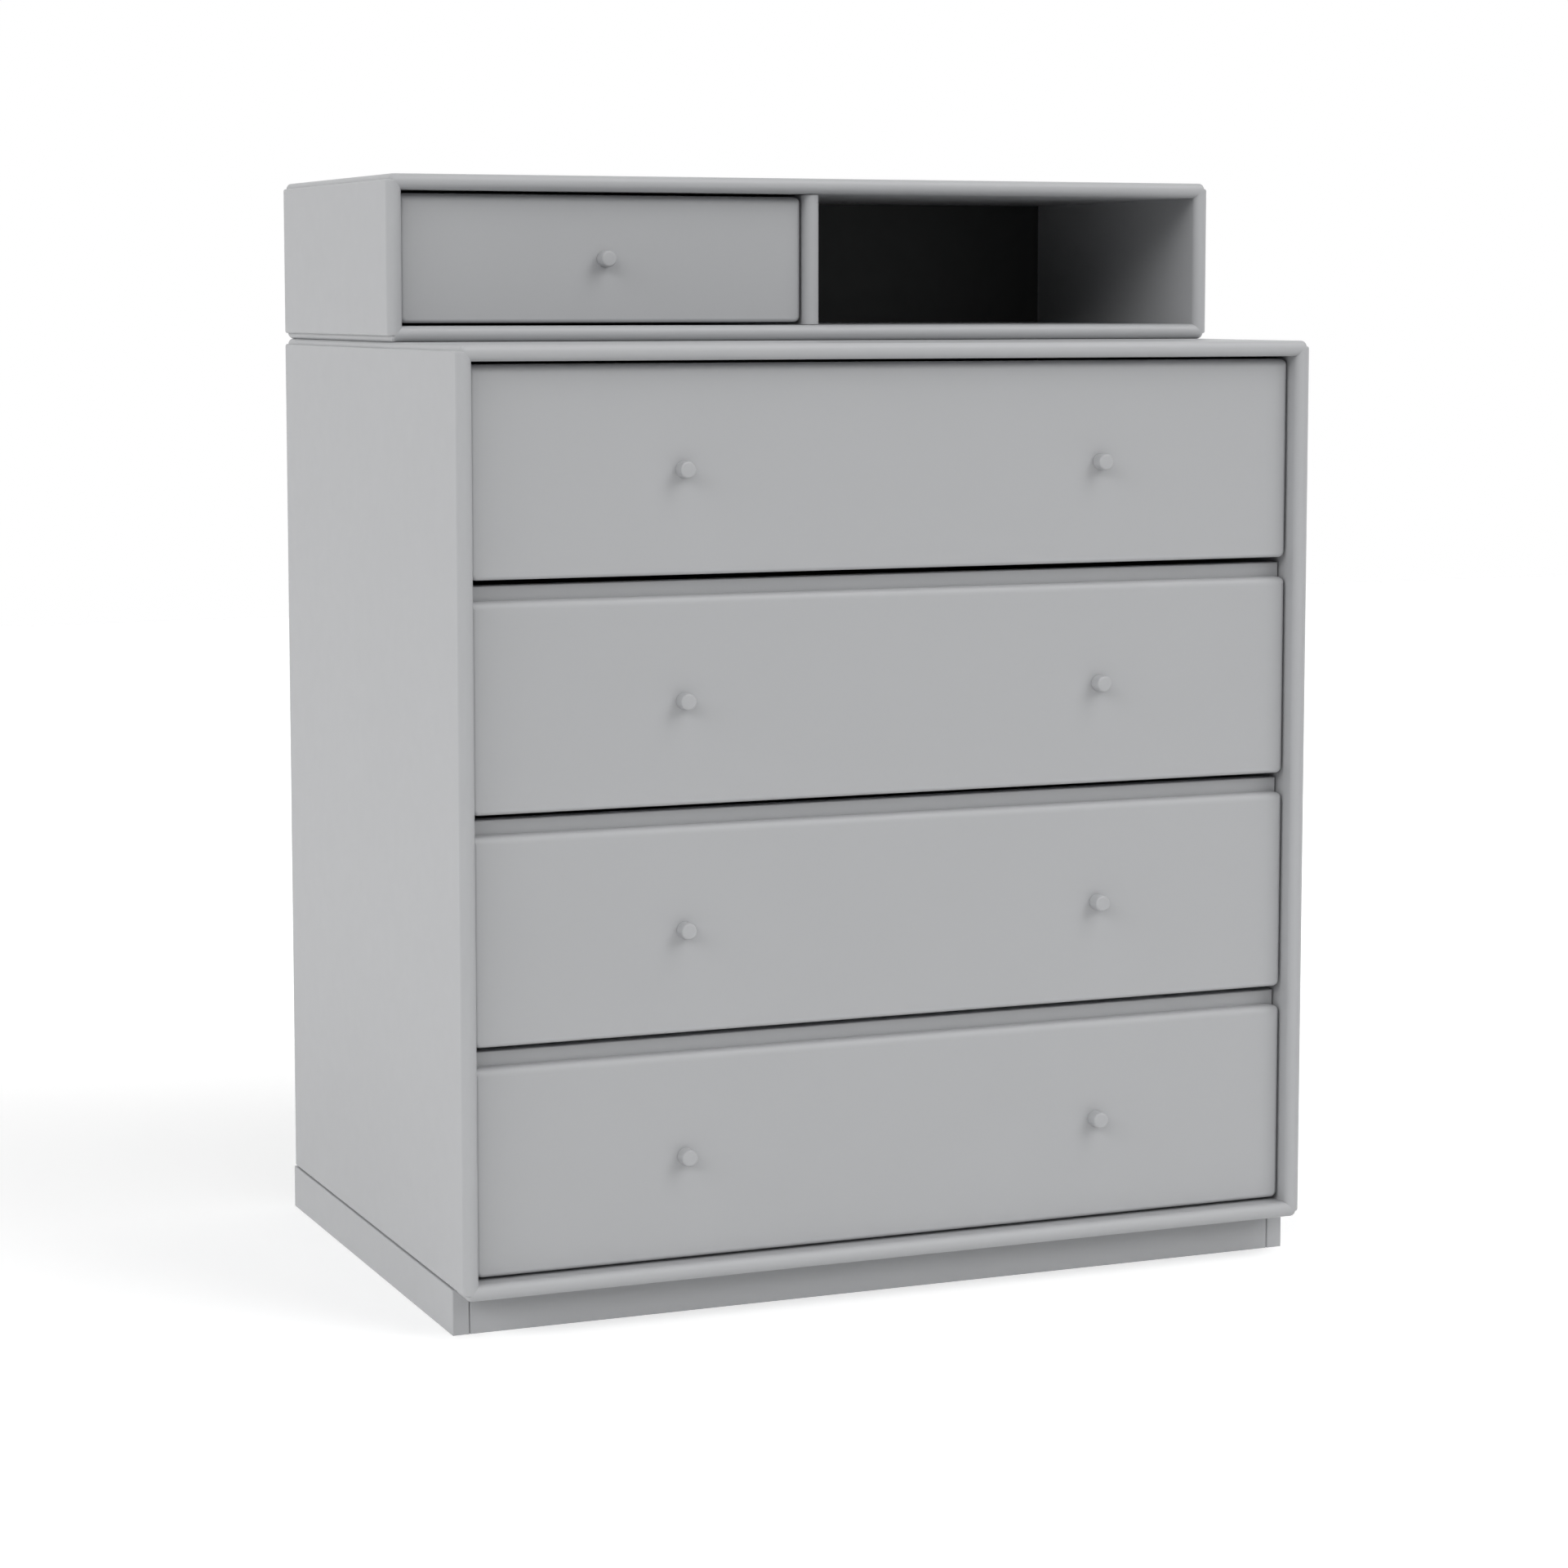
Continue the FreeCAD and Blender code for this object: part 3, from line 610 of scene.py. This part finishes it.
def lever_outline():
    """A tongue between two round ends, drawn in to a waist: (along, up) pairs."""
    half = LEVER_LENGTH / 2
    side = []
    for step in range(1, LEVER_STEPS):
        share = step / LEVER_STEPS
        taper = LEVER_HUB + (LEVER_TIP - LEVER_HUB) * share
        side.append((half - LEVER_LENGTH * share,
                     taper - LEVER_WAIST * math.sin(math.pi * share)))
    return (half_circle(half, LEVER_HUB, -math.pi / 2, LEVER_STEPS) + side
            + half_circle(-half, LEVER_TIP, math.pi / 2, LEVER_STEPS)
            + [(along, -up) for along, up in reversed(side)])


def lever_shape():
    """The plastic lever that frees the drawer: a tongue with a pivot boss and thumb ribs."""
    boss = stacked(capsule(BOSS_WIDE, BOSS_WIDE, BOSS_STEPS), BOSS_LEVELS)
    rib = stacked([(up, along) for along, up in capsule(RIB_LONG, RIB_WIDE, RIB_STEPS)],
                  RIB_LEVELS)
    return joined([stacked(lever_outline(), LEVER_LEVELS),
                   moved(boss, (0.0, LEVER_LENGTH / 2, 0.0)),
                   *(moved(rib, (0.0, along, 0.0)) for along in RIBS_AT)])


origin = Vector((0.0, 0.0, 0.0))
side_head = turned(screw_profile(*SIDE_HEAD), origin, SCREW_SIDES)
side_cross = cross_recess(Vector((0.0, SIDE_HEAD[1], 0.0)), *SIDE_CROSS)
lever_points, lever_faces = lever_shape()

for drawer in DRAWERS:
    short = drawer == "upper_drawer"
    last_screw = SHORT_LAST_SCREW if short else LONG_LAST_SCREW
    lever_at = SHORT_LEVER if short else LONG_LEVER
    inner_slots = FRONT_SLOTS + [(last_screw * INNER_SLOT, 14 * MM, HOLE, False),
                                 (last_screw, 11 * MM, HOLE, True),
                                 (last_screw + LAST_HOLE, HOLE, HOLE, False)]
    if not short:
        inner_slots.append(LONG_HOLE)
    middle_slots = MIDDLE_SLOTS + [(last_screw * MIDDLE_SLOT, 20 * MM, 7 * MM, False)]
    low, middle, half_wide = runner_member(f"{drawer}_runner_inner", drawer, True, inner_slots)
    runner_member(f"{drawer}_runner_middle", f"{drawer}_slides", False, middle_slots)

    # The screws and the lever sit on the outer face of the web of the drawer's member.
    face = half_wide - MEMBER_DEEP + SHEET
    lever = [(x + face, y + low.y + lever_at, z) for x, y, z in lever_points], lever_faces
    heads, crosses, levers = [], [], []
    for way in (1, -1):
        for along in (*FIRST_SCREWS, last_screw):
            place = Vector((middle.x + face * way, low.y + along, middle.z))
            heads.append(sideways(side_head, place, way))
            crosses.append(sideways(side_cross, place, way))
        levers.append(moved(lever, (middle.x, 0.0, middle.z), way))
    points, faces = joined(heads)
    piece = make_piece(f"{drawer}_runner_screws", points, faces, finishes["runner_steel"], drawer)
    points, faces = joined(crosses)
    make_piece(f"{drawer}_runner_recess_shade", points, faces, recess_shade_finish, drawer)
    points, faces = joined(levers)
    make_piece(f"{drawer}_runner_levers", points, faces, lever_finish, drawer)

# ---------------------------------------------------------------- floor and surroundings


def math_node(tree, operation, *inputs):
    """The result of a calculation, with numbers and sockets as its inputs."""
    node = add(tree, "ShaderNodeMath", operation=operation)
    for socket, value in zip(node.inputs, inputs):
        if isinstance(value, (int, float)):
            socket.default_value = value
        else:
            tree.links.new(value, socket)
    return node.outputs[0]


def step_up(tree, value, edge, soft):
    """0 below the edge and 1 above it, with a smooth step between."""
    node = add(tree, "ShaderNodeMapRange", {"From Min": edge - soft, "From Max": edge + soft},
               interpolation_type="SMOOTHSTEP")
    tree.links.new(value, node.inputs["Value"])
    return node.outputs["Result"]


def step_down(tree, value, edge, soft):
    return math_node(tree, "SUBTRACT", 1.0, step_up(tree, value, edge, soft))


def by_ray(tree, output, lit, seen):
    """Seen for camera, glossy and transmission rays, and lit for the rest."""
    path = add(tree, "ShaderNodeLightPath")
    direct = math_node(tree, "MAXIMUM",
                       path.outputs["Is Camera Ray"], path.outputs["Is Glossy Ray"])
    mix = add(tree, "ShaderNodeMixShader")
    tree.links.new(math_node(tree, "MAXIMUM", direct, path.outputs["Is Transmission Ray"]),
                   mix.inputs["Fac"])
    tree.links.new(lit, mix.inputs[1])
    tree.links.new(seen, mix.inputs[2])
    tree.links.new(mix.outputs["Shader"], output.inputs["Surface"])


FLOOR_LIFT = 0.34        # emission added where the floor is seen, which lifts it to plain white
FLOOR_CLOUDS = 3.0       # features of its noise to the metre
FLOOR_REACH = 6.0        # from the middle to each edge
FLOOR_CELLS = 8

material, tree, output = new_material("studio_floor")
coords = add(tree, "ShaderNodeTexCoord").outputs["Object"]
diffuse = add(tree, "ShaderNodeBsdfDiffuse")
tree.links.new(ramp(tree, noise(tree, coords, FLOOR_CLOUDS), FLOOR_DARK, FLOOR_LIGHT),
               diffuse.inputs["Color"])
lift = add(tree, "ShaderNodeEmission", {"Strength": FLOOR_LIFT})
total = add(tree, "ShaderNodeAddShader")
tree.links.new(diffuse.outputs["BSDF"], total.inputs[0])
tree.links.new(lift.outputs["Emission"], total.inputs[1])
by_ray(tree, output, diffuse.outputs["BSDF"], total.outputs["Shader"])

floor_mesh = bpy.data.meshes.new("studio_floor")
grid = bmesh.new()
bmesh.ops.create_grid(grid, x_segments=FLOOR_CELLS, y_segments=FLOOR_CELLS, size=FLOOR_REACH)
grid.to_mesh(floor_mesh)
grid.free()
floor = bpy.data.objects.new("studio_floor", floor_mesh)
floor.data.materials.append(material)
bpy.context.collection.objects.link(floor)

# Soft lights of the studio: direction from and to (degrees round from the front, positive
# toward +X), height from and to (degrees), and brightness.
STUDIO = (
    (-100.0, -60.0, 18.0, 42.0, 3.9),
    (-100.0, -60.0, -2.0, 18.0, 1.2),
    (-60.0, -20.0, 18.0, 42.0, 2.8),
    (-20.0, 20.0, 18.0, 42.0, 1.0),
    (20.0, 60.0, 18.0, 42.0, 3.65),
    (60.0, 100.0, 42.0, 68.0, 1.6),
)
SOFT = 3.0               # degrees over which a light fades out, to either side of its edge
BEHIND = 100.0           # beyond this direction the light behind begins
BEHIND_LEVEL = 0.6
DEGREES = 180 / math.pi  # in a radian

world = bpy.data.worlds.new("studio_world")
bpy.context.scene.world = world
world.use_nodes = True
tree = world.node_tree
tree.nodes.clear()
output = tree.nodes.new("ShaderNodeOutputWorld")
sky = add(tree, "ShaderNodeSeparateXYZ")
tree.links.new(add(tree, "ShaderNodeTexCoord").outputs["Generated"], sky.inputs["Vector"])
toward_front = math_node(tree, "MULTIPLY", sky.outputs["Y"], -1.0)
turn = math_node(tree, "MULTIPLY",
                 math_node(tree, "ARCTAN2", sky.outputs["X"], toward_front), DEGREES)
rise = math_node(tree, "MULTIPLY", math_node(tree, "ARCSINE", sky.outputs["Z"]), DEGREES)
level = math_node(tree, "MULTIPLY", BEHIND_LEVEL,
                  step_up(tree, math_node(tree, "ABSOLUTE", turn), BEHIND, SOFT))
for turn_from, turn_to, rise_from, rise_to, brightness in STUDIO:
    across = math_node(tree, "MULTIPLY", step_up(tree, turn, turn_from, SOFT),
                       step_down(tree, turn, turn_to, SOFT))
    upright = math_node(tree, "MULTIPLY", step_up(tree, rise, rise_from, SOFT),
                        step_down(tree, rise, rise_to, SOFT))
    area = math_node(tree, "MULTIPLY", math_node(tree, "MULTIPLY", across, upright), brightness)
    level = math_node(tree, "ADD", level, area)
light = add(tree, "ShaderNodeBackground", {"Color": WHITE})
tree.links.new(level, light.inputs["Strength"])
white = add(tree, "ShaderNodeBackground", {"Color": WHITE, "Strength": 1.0})
by_ray(tree, output, light.outputs["Background"], white.outputs["Background"])

# The main lamp, high on the right: a softbox as bright as the areas above, as seen from the chest.
LAMP_DIRECTION, LAMP_HEIGHT = math.radians(40.0), math.radians(55.0)
LAMP_DISTANCE = 6.0
LAMP_WIDTH, LAMP_DEPTH = 2.44, 2.77
LAMP_BRIGHTNESS = 3.6
LAMP_AIM = Vector((0.0, 0.0, 0.45))

toward_lamp = Vector((math.cos(LAMP_HEIGHT) * math.sin(LAMP_DIRECTION),
                      -math.cos(LAMP_HEIGHT) * math.cos(LAMP_DIRECTION), math.sin(LAMP_HEIGHT)))
lamp_data = bpy.data.lights.new("softbox", "AREA")
lamp_data.shape = "RECTANGLE"
lamp_data.size = LAMP_WIDTH
lamp_data.size_y = LAMP_DEPTH
lamp_data.energy = math.pi * LAMP_BRIGHTNESS * LAMP_WIDTH * LAMP_DEPTH
lamp = bpy.data.objects.new("softbox", lamp_data)
lamp.location = LAMP_AIM + toward_lamp * LAMP_DISTANCE
lamp.rotation_euler = toward_lamp.to_track_quat("Z", "Y").to_euler()
bpy.context.collection.objects.link(lamp)

# ---------------------------------------------------------------- camera

# Fitted to the photo: a camera with a vertical shift
CAMERA_AT = (-1.170807, -2.824083, 0.758599)
YAW = 0.3930169407840422        # toward +X from +Y
PITCH = -0.098819975436629
FOCAL_PX = 4660.663             # of an image 1920 pixels wide
CENTRE_ROW = 827.694            # image row of the optical axis
IMAGE = 1920.0
SENSOR = 36.0
CLIP_END = 50.0

right = Vector((math.cos(YAW), -math.sin(YAW), 0.0))
ahead = Vector((math.sin(YAW) * math.cos(PITCH), math.cos(YAW) * math.cos(PITCH),
                math.sin(PITCH)))
above = right.cross(ahead)
camera_data = bpy.data.cameras.new("photo_camera")
camera_data.sensor_width = SENSOR
camera_data.lens = FOCAL_PX / IMAGE * SENSOR
camera_data.shift_y = -(IMAGE / 2 - CENTRE_ROW) / IMAGE
camera_data.clip_end = CLIP_END
camera = bpy.data.objects.new("photo_camera", camera_data)
bpy.context.collection.objects.link(camera)
axes = Matrix((right, above, -ahead)).transposed().to_4x4()
camera.matrix_world = Matrix.Translation(CAMERA_AT) @ axes
bpy.context.scene.camera = camera

# ---------------------------------------------------------------- view

bpy.context.scene.view_settings.view_transform = "Standard"
